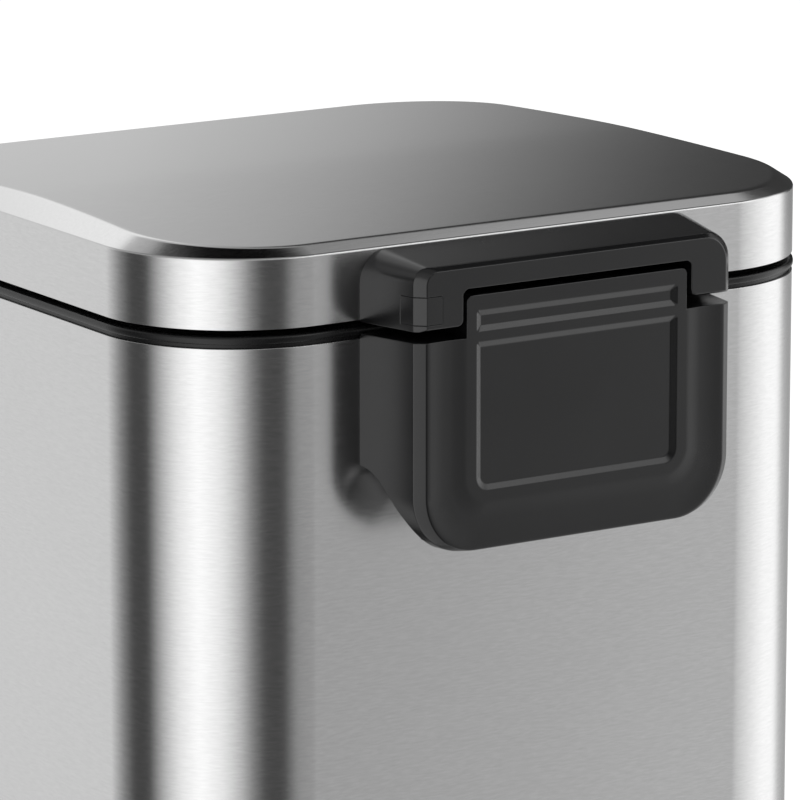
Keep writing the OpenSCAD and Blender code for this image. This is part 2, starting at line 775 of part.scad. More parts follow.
module lid_bracket() {
    color([0.17, 0.17, 0.18])
        difference() {
            union() {
                difference() {
                    bracket_form();
                    // Notch for the tongue, with a round roof behind the rear wall
                    along_y(pocket_y, face_y + past) {
                        notch_outline(notch_half, bracket_z - past, pin_z + notch_rise);
                        notch_foot(notch_half, bracket_z, notch_foot_r);
                    }
                    rod_x(-notch_half, notch_half, pin_y, pin_z, notch_top_r);
                }
                for (x = crank_xs) crank(x);
            }
            for (p = bracket_pockets)
                box(p[1] - p[0], p[1] + p[0], wall_y - past, wall_y + pocket_depth,
                    web_z, bracket_top - bracket_slope - skin);
            rod_x(pin_far, cover_x + past, pin_y, pin_z, pin_r + pin_play);
            for (x = crank_xs)
                rod_x(x - fork_half - past, x + fork_half + past, crank_y, crank_z,
                    crank_pin_r + pin_play);
            for (x = bracket_screw_xs)
                rod_along_y(x, wall_y - past, wall_y + bracket_screw_len + 2, bracket_screw_z,
                    screw_r + pin_play);
            cover_cut(0);
        }
}
module cover_cut(play) {
    box(cover_x + play, hinge_half_wall + past, cover_y + play, face_y + past,
        pin_z - cover_h / 2 + play, pin_z + cover_h / 2 - play);
}
module pin_cover() {
    color([0.19, 0.19, 0.2])
        intersection() {
            bracket_form();
            cover_cut(seat / 2);
        }
}
module bracket_screws() {
    color([0.6, 0.6, 0.6])
        for (x = bracket_screw_xs) {
            head_y = wall_y - liner_in - wall;
            rod_along_y(x, head_y - 2, head_y, bracket_screw_z, screw_head_r);
            rod_along_y(x, head_y - 1, wall_y + bracket_screw_len, bracket_screw_z, screw_r);
        }
}
module crank_pins() {
    color([0.7, 0.7, 0.72])
        for (x = crank_xs)
            rod_x(x - fork_half + 0.2, x + fork_half - 0.2, crank_y, crank_z, crank_pin_r);
}

// Head of a rod, with a slot in which its crank pin can slide
module rod_head(x, stem_r) {
    along_x(x - head_half, x + head_half)
        difference() {
            union() {
                for (y = [crank_y - crank_slack, crank_y])
                    translate([y, crank_z]) circle(crank_pin_r + 2.6);
                translate([crank_y - crank_slack, crank_z - crank_pin_r - 2.6]) square([crank_slack,
                    2 * crank_pin_r + 5.2]);
            }
            for (y = [crank_y - crank_slack, crank_y])
                translate([y, crank_z]) circle(head_slot_h / 2);
            translate([crank_y - crank_slack, crank_z - head_slot_h / 2]) square([crank_slack,
                head_slot_h]);
        }
    translate([x, crank_y, crank_z - 16]) cylinder(h = 16 - head_slot_h / 2 - 0.8, r = stem_r);
}
rod_foot_z = axle_z - rod_y * tan(lever_tilt) + lever_t / 2 / cos(lever_tilt) + rod_r / cos(lever_tilt) + 0.3;
module push_rod() {
    color([0.7, 0.7, 0.72])
        union() {
            translate([0, rod_y, rod_foot_z]) sphere(rod_r);
            translate([0, rod_y, rod_foot_z]) cylinder(h = jog_z - rod_foot_z, r = rod_r);
            translate([0, rod_y, jog_z]) sphere(rod_r);
            rod_along_y(0, rod_y, crank_y, jog_z, rod_r);
            translate([0, crank_y, jog_z]) sphere(rod_r);
            translate([0, crank_y, jog_z]) cylinder(h = crank_z - 12 - jog_z, r = rod_r);
            rod_head(0, rod_r);
        }
}
piston_h = 4;
module damper_rod() {
    piston_z = damper_z + 5;
    color([0.75, 0.75, 0.77])
        union() {
            translate([damper_x, crank_y, piston_z]) cylinder(h = piston_h,
                r = damper_r - damper_wall - pin_play);
            translate([damper_x, crank_y, piston_z]) cylinder(h = crank_z - 12 - piston_z,
                r = damper_rod_r);
            rod_head(damper_x, damper_rod_r);
        }
}

// Pedal: a steel lever with turned-down sides, tilted about the axle while the lid is shut
tread_round = 12;
tip_y = -half_d - pedal_out;
tread_y = -half_d - 3.5;
ear_h = 9;
flange_from = -half_d + 14;
flange_to = rod_y - 30;
module tilted() {
    translate([0, 0, axle_z]) rotate([-lever_tilt, 0, 0]) children();
}
module pedal_lever() {
    tip = tip_y / cos(lever_tilt) + 8;
    color([0.68, 0.68, 0.7])
        tilted()
            difference() {
                union() {
                    box(-lever_w / 2, lever_w / 2, tip, flange_to, -lever_t / 2, lever_t / 2);
                    box(-tongue_w / 2, tongue_w / 2, flange_to - past, rod_y + rod_r, -lever_t / 2,
                        lever_t / 2);
                    for (s = [-1, 1])
                        box(s > 0 ? lever_w / 2 - lever_t : -lever_w / 2,
                            s > 0 ? lever_w / 2 : -lever_w / 2 + lever_t,
                            flange_from, flange_to, -ear_h, 0);
                    for (s = [-1, 1])
                        along_x(s > 0 ? lever_w / 2 - lever_t : -lever_w / 2,
                            s > 0 ? lever_w / 2 : -lever_w / 2 + lever_t)
                            circle(ear_h);
                }
                rod_x(-lever_w, lever_w, 0, 0, axle_r + pin_play);
                box(-lever_w / 2 + lever_t, lever_w / 2 - lever_t, -axle_r - 2, axle_r + 2, -ear_h,
                    ear_h);
                for (x = rivet_xs)
                    translate([x, tread_mid, -lever_t]) cylinder(h = 2 * lever_t, r = rivet_r + pin_play);
            }
}
rivet_r = 2;
rivet_xs = [-15, 15];
tread_mid = (tread_y + tip_y) / 2;
module tread_plan() {
    depth = tread_y - tip_y;
    for (s = [-1, 1])
        translate([s * (tread_w / 2 - tread_round), tip_y + tread_round]) circle(tread_round);
    translate([-tread_w / 2 + tread_round, tip_y]) square([tread_w - 2 * tread_round, depth]);
    translate([-tread_w / 2, tip_y + tread_round]) square([tread_w, depth - tread_round]);
}
groove_ys = [-8, -2.5, 3, 8.5];
module pedal_tread() {
    low = -tread_t / 2;
    color([0.1, 0.1, 0.11])
        tilted()
            difference() {
                translate([0, 0, low]) linear_extrude(tread_t) tread_plan();
                // Pocket that takes the lever's tip
                box(-lever_w / 2 - 0.1, lever_w / 2 + 0.1, tip_y / cos(lever_tilt) + 7.9, tread_y + past,
                    -lever_t / 2, lever_t / 2);
                for (y = groove_ys)
                    box(-tread_w / 2 + 14, tread_w / 2 - 14, tread_mid + y - 0.8, tread_mid + y + 0.8,
                        tread_t / 2 - 1, tread_t);
                for (x = rivet_xs)
                    translate([x, tread_mid, low - past]) cylinder(h = tread_t, r = rivet_r + pin_play);
                for (x = rivet_xs)
                    translate([x, tread_mid, low - past]) cylinder(h = past + 1, r = rivet_r + 2);
            }
}
module pedal_rivets() {
    color([0.6, 0.6, 0.6])
        tilted()
            for (x = rivet_xs)
                translate([x, tread_mid, -tread_t / 2]) {
                    cylinder(h = tread_t / 2 + lever_t / 2, r = rivet_r);
                    cylinder(h = 0.9, r = rivet_r + 1.8);
                }
}

// Bucket: a drafted shell that hangs by its flange on the rim's ledge
module bucket_hull(extra, floor_z, top_z) {
    hull() {
        slab(bucket_in + bucket_draft + extra, floor_z, floor_z + 0.01, $fn = 48);
        slab(bucket_in + extra, top_z - 0.01, top_z, $fn = 48);
    }
}
module inner_bucket() {
    grip_out = half_w - ledge_in;
    grip_in = grip_out - can_taper - 2 * bucket_draft;
    grip_top = ledge_z - 2 * bucket_draft;
    color([0.2, 0.2, 0.21])
        difference() {
            union() {
                bucket_hull(0, bucket_bottom, ledge_z + 0.5);
                slab(flange_in, ledge_z, bucket_top);
            }
            bucket_hull(wall, bucket_bottom + wall, bucket_top + past);
            for (s = [-1, 1])
                box(min(s * grip_in, s * grip_out), max(s * grip_in, s * grip_out), -grip_w / 2,
                    grip_w / 2, grip_top - grip_h, grip_top);
        }
}

outer_shell();
body_rim();
base_pan();
rubber_feet();
foot_screws();
pedal_axle();
axle_clips();
hinge_housing();
backing_plate();
housing_screws();
rod_channel();
hinge_pin();
damper_body();
damper_pin();
lid_shell();
lid_liner();
lid_bracket();
bracket_screws();
pin_cover();
crank_pins();
lid_buffers();
pedal_lever();
pedal_tread();
pedal_rivets();
push_rod();
damper_rod();
inner_bucket();
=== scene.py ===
"""Looks of the pedal bin: brushed steel body and lid, black rim and hinge mouldings."""
import math

import bmesh
import bpy
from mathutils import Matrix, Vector


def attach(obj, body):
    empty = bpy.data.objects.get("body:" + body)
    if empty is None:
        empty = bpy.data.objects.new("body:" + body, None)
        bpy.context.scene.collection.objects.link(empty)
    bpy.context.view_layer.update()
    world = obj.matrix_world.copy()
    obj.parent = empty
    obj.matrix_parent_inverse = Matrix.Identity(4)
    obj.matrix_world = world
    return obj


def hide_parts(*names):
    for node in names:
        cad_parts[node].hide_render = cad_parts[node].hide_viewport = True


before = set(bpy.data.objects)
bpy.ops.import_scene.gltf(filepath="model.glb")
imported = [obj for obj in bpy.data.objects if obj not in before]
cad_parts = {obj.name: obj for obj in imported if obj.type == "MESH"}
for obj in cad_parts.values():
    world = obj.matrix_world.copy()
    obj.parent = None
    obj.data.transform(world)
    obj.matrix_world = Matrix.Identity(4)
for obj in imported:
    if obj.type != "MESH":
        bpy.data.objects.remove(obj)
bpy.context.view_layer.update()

MM = 0.001

# Driving sizes of the can, in millimetres
can_w = 330.0
can_d = 285.0
can_taper = 23.5
corner_r = 60.0
body_top = 411.0
body_bottom = 14.0
sheet = 0.8
hem_w = 1.6
hem_h = 2.0
neck_h = 1.7
neck_in = 1.2
bead_h = 3.2
bead_out = 0.4
bead_w = 6.4
rim_drop = 9.0
wall = 2.2
ledge_in = 13.0
ledge_lift = 0.2
lid_gap = 2.6
skirt_h = 28.2
bevel_h = 3.3
bevel_w = 6.7
crown = 4.8
crown_shape = 1.56
bevel_grow = 0.92
bevel_grow_power = 6
seat = 0.2

half_w = can_w / 2
half_d = can_d / 2
lean = math.atan(can_taper / 2 / can_d)
core_y = half_d - corner_r
bead_z = body_top + neck_h
bead_top = bead_z + bead_h
ledge_z = bead_z + ledge_lift
skirt_z = bead_top + lid_gap
skirt_top = skirt_z + skirt_h
lid_edge = skirt_top + bevel_h
wall_y = half_d

# Hinge sizes
hinge_out = 33.0
face_step = 0.4
pin_in = 8.0
pin_lift = 7.5
bracket_gap = 0.8
shoulder_gap = 4.4
pin_bore_r = 2.55
screw_bore_r = 1.95
crank_places = (0.0, 28.0)

face_y = wall_y + hinge_out
rear_y = face_y - face_step
pin_y = face_y - pin_in
pin_z = skirt_z + pin_lift
bracket_z = skirt_z - bracket_gap
shoulder_z = bracket_z - shoulder_gap

# Cutters reach this far past the face that they cut, and to each side where they go right across the hinge
past = 1.0
across = 90.0


def core_x(y):
    """Distance of a corner's centre from the middle line."""
    reach = half_w * math.cos(lean) - half_d * math.sin(lean) - corner_r
    return (reach + y * math.sin(lean)) / math.cos(lean)


def between(first, last, share):
    """Value at a share of the way from the first to the last."""
    return first + (last - first) * share


# Tools for modelling
def start():
    """Object mode with nothing selected."""
    if bpy.context.mode != "OBJECT":
        bpy.ops.object.mode_set(mode="OBJECT")
    bpy.ops.object.select_all(action="DESELECT")


def choose(piece):
    """Object mode with one piece selected."""
    start()
    bpy.context.view_layer.objects.active = piece
    piece.select_set(True)


def opened(piece):
    """Opens a finished piece for editing again."""
    choose(piece)
    bpy.ops.object.mode_set(mode="EDIT")


def added(name):
    """Names the object that was just added and opens it for editing."""
    piece = bpy.context.active_object
    piece.name = name
    piece.data.name = name
    bpy.ops.object.transform_apply(location=True, rotation=True, scale=True)
    bpy.ops.object.mode_set(mode="EDIT")
    return piece


def pick(piece, kind, test):
    """Selects the verts, edges or faces whose middle, in millimetres, passes the test."""
    bpy.ops.mesh.select_mode(type={"verts": "VERT", "edges": "EDGE", "faces": "FACE"}[kind])
    bpy.ops.mesh.select_all(action="DESELECT")
    mesh = bmesh.from_edit_mesh(piece.data)
    for part in getattr(mesh, kind):
        if kind == "verts":
            middle = part.co
        elif kind == "edges":
            middle = (part.verts[0].co + part.verts[1].co) / 2
        else:
            middle = part.calc_center_median()
        if test(middle / MM, part):
            part.select_set(True)
    mesh.select_flush_mode()
    bmesh.update_edit_mesh(piece.data)


def extrude(rise=0.0):
    """Extrudes the selected loop straight up by a height in millimetres."""
    bpy.ops.mesh.extrude_edges_move(TRANSFORM_OT_translate={"value": (0, 0, rise * MM)})


def round_edges(width, segments):
    """Rounds the selected edges."""
    bpy.ops.mesh.bevel(offset=width * MM, segments=segments, affect="EDGES")


def weld(gap):
    """Merges points of the open piece that lie within a gap, in millimetres."""
    bpy.ops.mesh.select_all(action="SELECT")
    bpy.ops.mesh.remove_doubles(threshold=gap * MM)


def face_out():
    """Turns all faces of the open piece outward."""
    bpy.ops.mesh.select_all(action="SELECT")
    bpy.ops.mesh.normals_make_consistent(inside=False)


def finish_shell():
    """Turns all faces of the open piece outward and ends its editing."""
    face_out()
    bpy.ops.object.mode_set(mode="OBJECT")


def modifier(piece, kind, **settings):
    """Adds a modifier, sets it and applies it."""
    choose(piece)
    bpy.ops.object.modifier_add(type=kind)
    newest = piece.modifiers[-1]
    for key, value in settings.items():
        setattr(newest, key, value)
    bpy.ops.object.modifier_apply(modifier=newest.name)


def join_flat():
    """Joins faces of the open piece that lie in one plane and ends its editing."""
    bpy.ops.mesh.dissolve_limited(angle_limit=math.radians(0.5))
    bpy.ops.object.mode_set(mode="OBJECT")


def mend(piece):
    """Merges the slivers that cutting leaves and joins faces that lie in one plane."""
    sliver = 0.06
    opened(piece)
    weld(sliver)
    bpy.ops.mesh.dissolve_degenerate(threshold=sliver * MM)
    join_flat()


def soften(piece, width, angle, clamp=True):
    """Rounds the edges that turn by more than an angle, in degrees."""
    modifier(piece, "BEVEL", width=width * MM, segments=2, limit_method="ANGLE",
             angle_limit=math.radians(angle), harden_normals=True, use_clamp_overlap=clamp)
    choose(piece)
    bpy.ops.object.shade_smooth()
    modifier(piece, "WEIGHTED_NORMAL", keep_sharp=True, weight=60)


def cut(piece, cutter, operation="DIFFERENCE"):
    """Cuts a piece with another one, which is then thrown away."""
    modifier(piece, "BOOLEAN", object=cutter, operation=operation, solver="EXACT")
    bpy.data.objects.remove(cutter)


def block(name, low, high):
    """Box between two corners, in millimetres."""
    start()
    bpy.ops.mesh.primitive_cube_add(size=1.0, location=[(a + b) / 2 * MM for a, b in zip(low, high)],
                                    scale=[(b - a) * MM for a, b in zip(low, high)])
    piece = added(name)
    bpy.ops.object.mode_set(mode="OBJECT")
    return piece


along_x = (0, math.pi / 2, 0)
along_y = (math.pi / 2, 0, 0)


def rod(name, place, turn, radius, length):
    """Round bar about a middle, in millimetres, turned to lie along an axis."""
    start()
    bpy.ops.mesh.primitive_cylinder_add(vertices=48, radius=radius * MM, depth=length * MM,
                                        location=[c * MM for c in place], rotation=turn)
    piece = added(name)
    bpy.ops.object.mode_set(mode="OBJECT")
    return piece


def outward(x, y):
    """Direction that points straight out of the can's outline at a place."""
    slack = 1.3
    sx = 1.0 if x >= 0 else -1.0
    for sy in (1.0, -1.0):
        cy = sy * core_y
        dx = sx * x - core_x(cy)
        dy = y - cy
        turn = math.degrees(math.atan2(dy, dx))
        first, last = sorted((sy * 90.0, -math.degrees(lean)))
        if first - slack < turn < last + slack:
            far = math.hypot(dx, dy)
            return sx * dx / far, dy / far
    if abs(x) < core_x(core_y) and abs(y) > core_y:
        return 0.0, math.copysign(1.0, y)
    return sx * math.cos(lean), -math.sin(lean)


def outline(name, inset, z):
    """Loop of edges along the can's outline, drawn in by an inset."""
    points, side_cuts = 152, 14
    start()
    bpy.ops.mesh.primitive_circle_add(vertices=points, radius=corner_r * MM, location=(0, 0, z * MM),
                                      rotation=(0, 0, math.radians(180.0 / points)))
    piece = added(name)
    split = -corner_r * math.sin(lean)
    mesh = bmesh.from_edit_mesh(piece.data)
    marks = {v.index: (1 if v.co.x > 0 else -1, 1 if v.co.y / MM > split else -1) for v in mesh.verts}
    for sx, sy in ((1, 1), (1, -1), (-1, 1), (-1, -1)):
        bpy.ops.mesh.select_all(action="DESELECT")
        mesh = bmesh.from_edit_mesh(piece.data)
        for v in mesh.verts:
            v.select = marks[v.index] == (sx, sy)
        mesh.select_flush(True)
        bmesh.update_edit_mesh(piece.data)
        bpy.ops.transform.translate(value=(sx * core_x(sy * core_y) * MM, sy * core_y * MM, 0))
    pick(piece, "edges", lambda m, e: abs(m.x) > core_x(core_y) and e.calc_length() > corner_r * MM)
    bpy.ops.mesh.subdivide(number_cuts=side_cuts)
    bpy.ops.mesh.select_all(action="SELECT")
    shift(piece, inset)
    return piece


def shift(piece, inset):
    """Draws the selected verts in along the outline's normal."""
    mesh = bmesh.from_edit_mesh(piece.data)
    for v in mesh.verts:
        if v.select:
            ox, oy = outward(v.co.x / MM, v.co.y / MM)
            v.co.x -= ox * inset * MM
            v.co.y -= oy * inset * MM
    bmesh.update_edit_mesh(piece.data)


def rows(piece, profile):
    """Extrudes the open loop through a list of (inset, height) places; it lies at the first one."""
    inset, z = profile[0]
    for next_inset, next_z in profile[1:]:
        extrude(next_z - z)
        shift(piece, next_inset - inset)
        inset, z = next_inset, next_z


def closed_band(name, profile):
    """Ring whose section is a closed profile of (inset, height) places."""
    piece = outline(name, *profile[0])
    rows(piece, profile + profile[:1])
    weld(0.01)
    finish_shell()
    return piece


def low_u(half, bottom, r, top, y):
    """Open outline of the housing at one depth: down one side, round the bottom and up the other."""
    straight, steps = 6, 16
    points = [(half, y, top + (bottom + r - top) * k / straight) for k in range(straight)]
    for k in range(steps + 1):
        turn = math.radians(90.0 * k / steps)
        points.append((half - r + r * math.cos(turn), y, bottom + r - r * math.sin(turn)))
    return points + [(-x, y, z) for x, y, z in reversed(points)]


def rounded(half, bottom, top, r_low, r_high, y):
    """Closed outline with rounded corners, seen from behind."""
    steps = 8
    corners = [(half - r_high, top - r_high, r_high, 90), (half - r_low, bottom + r_low, r_low, 0),
               (-half + r_low, bottom + r_low, r_low, -90), (-half + r_high, top - r_high, r_high, -180)]
    points = []
    for cx, cz, r, first in corners:
        for k in range(steps + 1):
            turn = math.radians(first - 90.0 * k / steps)
            points.append((cx + r * math.cos(turn), y, cz + r * math.sin(turn)))
    return points


def loft(name, rings, closed):
    """Skin through a list of outlines, laid on a grid of faces."""
    start()
    wide, deep = len(rings[0]) - 1, len(rings) - 1
    if closed:
        rings = [ring + ring[:1] for ring in rings]
        wide += 1
    bpy.ops.mesh.primitive_grid_add(x_subdivisions=wide, y_subdivisions=deep, size=2.0, location=(0, 0, 0))
    piece = added(name)
    mesh = bmesh.from_edit_mesh(piece.data)
    for v in mesh.verts:
        column = round((v.co.x + 1) / 2 * wide)
        row = round((v.co.y + 1) / 2 * deep)
        v.co = Vector(rings[row][column]) * MM
    bmesh.update_edit_mesh(piece.data)
    weld(0.001)
    return piece


def cap(piece, y):
    """Closes the open loop that lies at one depth."""
    pick(piece, "verts", lambda m, v: v.is_boundary and abs(m.y - y) < 0.01)
    bpy.ops.mesh.edge_face_add()


def solid(name, rings, *ends):
    """Closed skin through a list of outlines, with a cap at each end."""
    piece = loft(name, rings, True)
    for y in ends:
        cap(piece, y)
    finish_shell()
    return piece


# Tools for materials; the depths of the fine relief are in metres
brush_depth = 0.0001
grain_depth = 0.00005


def new_material(name):
    """Material with its nodes, its links and its main shader."""
    material = bpy.data.materials.new(name)
    material.use_nodes = True
    nodes = material.node_tree.nodes
    links = material.node_tree.links
    return material, nodes, links, nodes["Principled BSDF"]


def feed(links, socket, value):
    """Links a socket to a node's output, or sets it to a plain value."""
    if isinstance(value, bpy.types.NodeSocket):
        links.new(value, socket)
    else:
        socket.default_value = value


def noise(nodes, links, scale, detail, stretch=(1, 1, 1)):
    """Noise on the object's own coordinates, stretched along its axes."""
    place = nodes.new("ShaderNodeTexCoord")
    mapping = nodes.new("ShaderNodeMapping")
    mapping.inputs["Scale"].default_value = stretch
    links.new(place.outputs["Object"], mapping.inputs["Vector"])
    grain = nodes.new("ShaderNodeTexNoise")
    grain.inputs["Scale"].default_value = scale
    grain.inputs["Detail"].default_value = detail
    links.new(mapping.outputs["Vector"], grain.inputs["Vector"])
    return grain.outputs["Fac"]


def spread(nodes, links, source, low, high, from_low=0.3, from_high=0.7, kind="LINEAR"):
    """Maps a value to a range."""
    span = nodes.new("ShaderNodeMapRange")
    span.interpolation_type = kind
    span.inputs["From Min"].default_value = from_low
    span.inputs["From Max"].default_value = from_high
    span.inputs["To Min"].default_value = low
    span.inputs["To Max"].default_value = high
    links.new(source, span.inputs["Value"])
    return span.outputs["Result"]


def reckon(nodes, links, operation, *terms):
    """Sum, product or the like of links and plain numbers."""
    node = nodes.new("ShaderNodeMath")
    node.operation = operation
    for socket, term in zip(node.inputs, terms):
        feed(links, socket, term)
    return node.outputs["Value"]


def blend(nodes, links, share, first, second):
    """Colour that goes from the first to the second as the share goes from 0 to 1."""
    mix = nodes.new("ShaderNodeMix")
    mix.data_type = "RGBA"
    links.new(share, mix.inputs["Factor"])
    feed(links, mix.inputs["A"], first)
    feed(links, mix.inputs["B"], second)
    return mix.outputs["Result"]


def tint(nodes, links, source, dark, light):
    """Colour between two tones, driven by a noise value."""
    return blend(nodes, links, source, (*dark, 1), (*light, 1))


def bump(nodes, links, source, shader, strength, distance):
    """Fine relief of the surface, driven by a noise value."""
    relief = nodes.new("ShaderNodeBump")
    relief.inputs["Strength"].default_value = strength
    relief.inputs["Distance"].default_value = distance
    links.new(source, relief.inputs["Height"])
    links.new(relief.outputs["Normal"], shader.inputs["Normal"])


def brushed_steel(name, stretch, turn, aniso, tone, rough):
    """Steel with fine brushing lines; stretch gives the direction of the lines."""
    mottle, relief = 0.035, 0.03
    material, nodes, links, shader = new_material(name)
    shader.inputs["Metallic"].default_value = 1.0
    shader.inputs["Anisotropic"].default_value = aniso
    shader.inputs["Anisotropic Rotation"].default_value = turn
    lines = spread(nodes, links, noise(nodes, links, 1.0, 3.0, stretch), 0.0, 0.6)
    fine = spread(nodes, links, noise(nodes, links, 2.6, 2.0, stretch), 0.0, 0.4)
    patches = spread(nodes, links, noise(nodes, links, 9.0, 2.0), -0.12, 0.12)
    mixed = reckon(nodes, links, "ADD", lines, fine)
    total = reckon(nodes, links, "ADD", patches, mixed)
    links.new(spread(nodes, links, total, *rough, 0.0, 1.0), shader.inputs["Roughness"])
    colour = tint(nodes, links, total, (tone - mottle,) * 3, (tone + mottle,) * 3)
    links.new(colour, shader.inputs["Base Color"])
    tangent = nodes.new("ShaderNodeTangent")
    tangent.direction_type = "RADIAL"
    tangent.axis = "Z"
    links.new(tangent.outputs["Tangent"], shader.inputs["Tangent"])
    bump(nodes, links, mixed, shader, relief, brush_depth)
    return material


def moulded_plastic(name, dark, light, rough, grain=1500.0, relief=0.12, specular=0.5):
    """Plastic with a fine moulded grain and faint clouding."""
    material, nodes, links, shader = new_material(name)
    texture = noise(nodes, links, grain, 2.0)
    clouds = noise(nodes, links, 24.0, 3.0)
    colour = tint(nodes, links, spread(nodes, links, clouds, 0.0, 1.0), dark, light)
    links.new(colour, shader.inputs["Base Color"])
    roughness = reckon(nodes, links, "ADD", spread(nodes, links, clouds, *rough),
                       spread(nodes, links, texture, -0.03, 0.03))
    links.new(roughness, shader.inputs["Roughness"])
    shader.inputs["Specular IOR Level"].default_value = specular
    bump(nodes, links, texture, shader, relief, grain_depth)
    return material


def metal(name, dark, light, rough):
    """Plain metal with a faint mottle, for the small fittings."""
    material, nodes, links, shader = new_material(name)
    shader.inputs["Metallic"].default_value = 1.0
    mottle = noise(nodes, links, 400.0, 3.0)
    colour = tint(nodes, links, spread(nodes, links, mottle, 0.0, 1.0), dark, light)
    links.new(colour, shader.inputs["Base Color"])
    links.new(spread(nodes, links, mottle, *rough), shader.inputs["Roughness"])
    bump(nodes, links, mottle, shader, 0.05, grain_depth)
    return material


wall_steel = brushed_steel("brushed_wall", (170, 170, 1300), turn=0.25, aniso=0.7, tone=0.62, rough=(0.2, 0.25))
top_steel = brushed_steel("brushed_top", (150, 1100, 1100), turn=0.0, aniso=0.0, tone=0.6, rough=(0.13, 0.18))
hinge_black = moulded_plastic("hinge_black", dark=(0.0045, 0.0045, 0.0048), light=(0.006, 0.006, 0.0064),
                              rough=(0.2, 0.25), relief=0.05, specular=0.58)
rim_black = moulded_plastic("rim_black", dark=(0.004, 0.004, 0.0043), light=(0.0055, 0.0055, 0.0058),
                            rough=(0.25, 0.3), relief=0.05, specular=0.38)
inner_black = moulded_plastic("inner_black", dark=(0.02, 0.02, 0.021), light=(0.027, 0.027, 0.028),
                              rough=(0.5, 0.58))
bucket_grey = moulded_plastic("bucket_grey", dark=(0.035, 0.035, 0.037), light=(0.045, 0.045, 0.047),
                              rough=(0.42, 0.5))
rubber = moulded_plastic("rubber", dark=(0.016, 0.016, 0.016), light=(0.022, 0.022, 0.022),
                         rough=(0.7, 0.8), grain=900.0, relief=0.3, specular=0.3)
zinc = metal("zinc", dark=(0.6, 0.6, 0.6), light=(0.68, 0.68, 0.67), rough=(0.3, 0.42))
rod_steel = metal("rod_steel", dark=(0.6, 0.6, 0.61), light=(0.66, 0.66, 0.67), rough=(0.2, 0.3))


def dress(piece, *materials):
    """Gives a piece its materials."""
    piece.data.materials.clear()
    for material in materials:
        piece.data.materials.append(material)


# Opening for the pedal at the foot of the body's front
gate_half = 31.0
gate_top = 43.2
gate_out = 5.0
gate_in = 12.0


def make_body():
    """Steel body: a tube of sheet with folded edges, cut for the pedal."""
    top, bottom = body_top, body_bottom
    body = closed_band("steel_body", [
        (hem_w, top - hem_h), (hem_w, top), (0, top), (0, bottom), (hem_w, bottom),
        (hem_w, bottom + hem_h), (sheet, bottom + hem_h), (sheet, top - hem_h)])
    cut(body, block("gate", (-gate_half, -half_d - gate_out, -past),
                    (gate_half, -half_d + gate_in, gate_top)))
    soften(body, width=0.35, angle=40)
    dress(body, wall_steel)
    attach(body, "can_body")
    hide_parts("outer_shell")


# Round edges of the rim's bead, as (inset, rise) from its foot and (inset, drop) from its top
bead_foot = [(0.5, 0.0), (0.12, 0.45), (0.0, 1.1)]
bead_head = [(0.0, 1.3), (0.2, 0.6), (0.65, 0.15), (1.3, 0.0)]
bead_inner = 0.6


def make_rim():
    """Black ring with its round bead, its ledge and its wall inside the body."""
    out, inner = -bead_out, bead_w - bead_out
    foot = body_top - rim_drop
    ring = closed_band("rim_ring", [
        (hem_w + seat, foot), (hem_w + seat, body_top), (neck_in, body_top), (neck_in, bead_z),
        *((out + inset, bead_z + rise) for inset, rise in bead_foot),
        *((out + inset, bead_top - drop) for inset, drop in bead_head),
        (inner - bead_inner, bead_top), (inner, bead_top - bead_inner), (inner, ledge_z), (ledge_in, ledge_z),
        (ledge_in, body_top), (hem_w + seat + wall, body_top), (hem_w + seat + wall, foot)])
    soften(ring, width=0.2, angle=40)
    dress(ring, rim_black)
    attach(ring, "can_body")
    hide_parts("body_rim")


# Lid's band inside its top edge, the roundings of its edges, and the angle from which an edge is sharp
top_band = 3.0
top_round = 1.3
skirt_round = 0.8
lid_sharp = 13.0


def arch(y, reach):
    """Height of the lid's arched top over its back edge."""
    return crown * (1 - min(abs(y) / reach, 1) ** crown_shape)


def level(piece, inset, z):
    """Puts the selected loop on the can's outline at an inset and a height."""
    mesh = bmesh.from_edit_mesh(piece.data)
    r = corner_r - inset
    for v in mesh.verts:
        if v.select:
            x, y = v.co.x / MM, v.co.y / MM
            ox, oy = outward(x, y)
            side = 1.0 if x >= 0 else -1.0
            end = 1.0 if y >= 0 else -1.0
            if abs(abs(ox) - math.cos(lean)) < 0.00001:
                v.co.x = side * (core_x(y) + r / math.cos(lean)) * MM
            else:
                v.co.x = (side * core_x(end * core_y) + ox * r) * MM
                v.co.y = (end * core_y + oy * r) * MM
            v.co.z = z * MM
    bmesh.update_edit_mesh(piece.data)


def raise_edge(piece, inset):
    """Lifts the selected loop to the arch and draws its sides in as it rises."""
    mesh = bmesh.from_edit_mesh(piece.data)
    for v in mesh.verts:
        if v.select:
            x, y = v.co.x / MM, v.co.y / MM
            rise = arch(y, half_d - inset)
            share = (abs(x) / (half_w - inset)) ** bevel_grow_power
            v.co.x -= math.copysign(bevel_grow * rise * share, x) * MM
            v.co.z += rise * MM
    bmesh.update_edit_mesh(piece.data)


def close_top(piece):
    """Joins the left and right halves of the open loop by strips across."""
    pick(piece, "edges", lambda m, e: len(e.link_faces) < 2 and abs(m.x) > 1)
    bpy.ops.mesh.bridge_edge_loops()


def round_lid_edge(lid, height, width, segments):
    """Rounds the lid's sharp edges at a height, which may change from front to back."""
    tolerance = 0.15
    pick(lid, "edges", lambda m, e: abs(m.z - height(m.y)) < tolerance
         and e.calc_face_angle(0) > math.radians(lid_sharp))
    round_edges(width, segments)


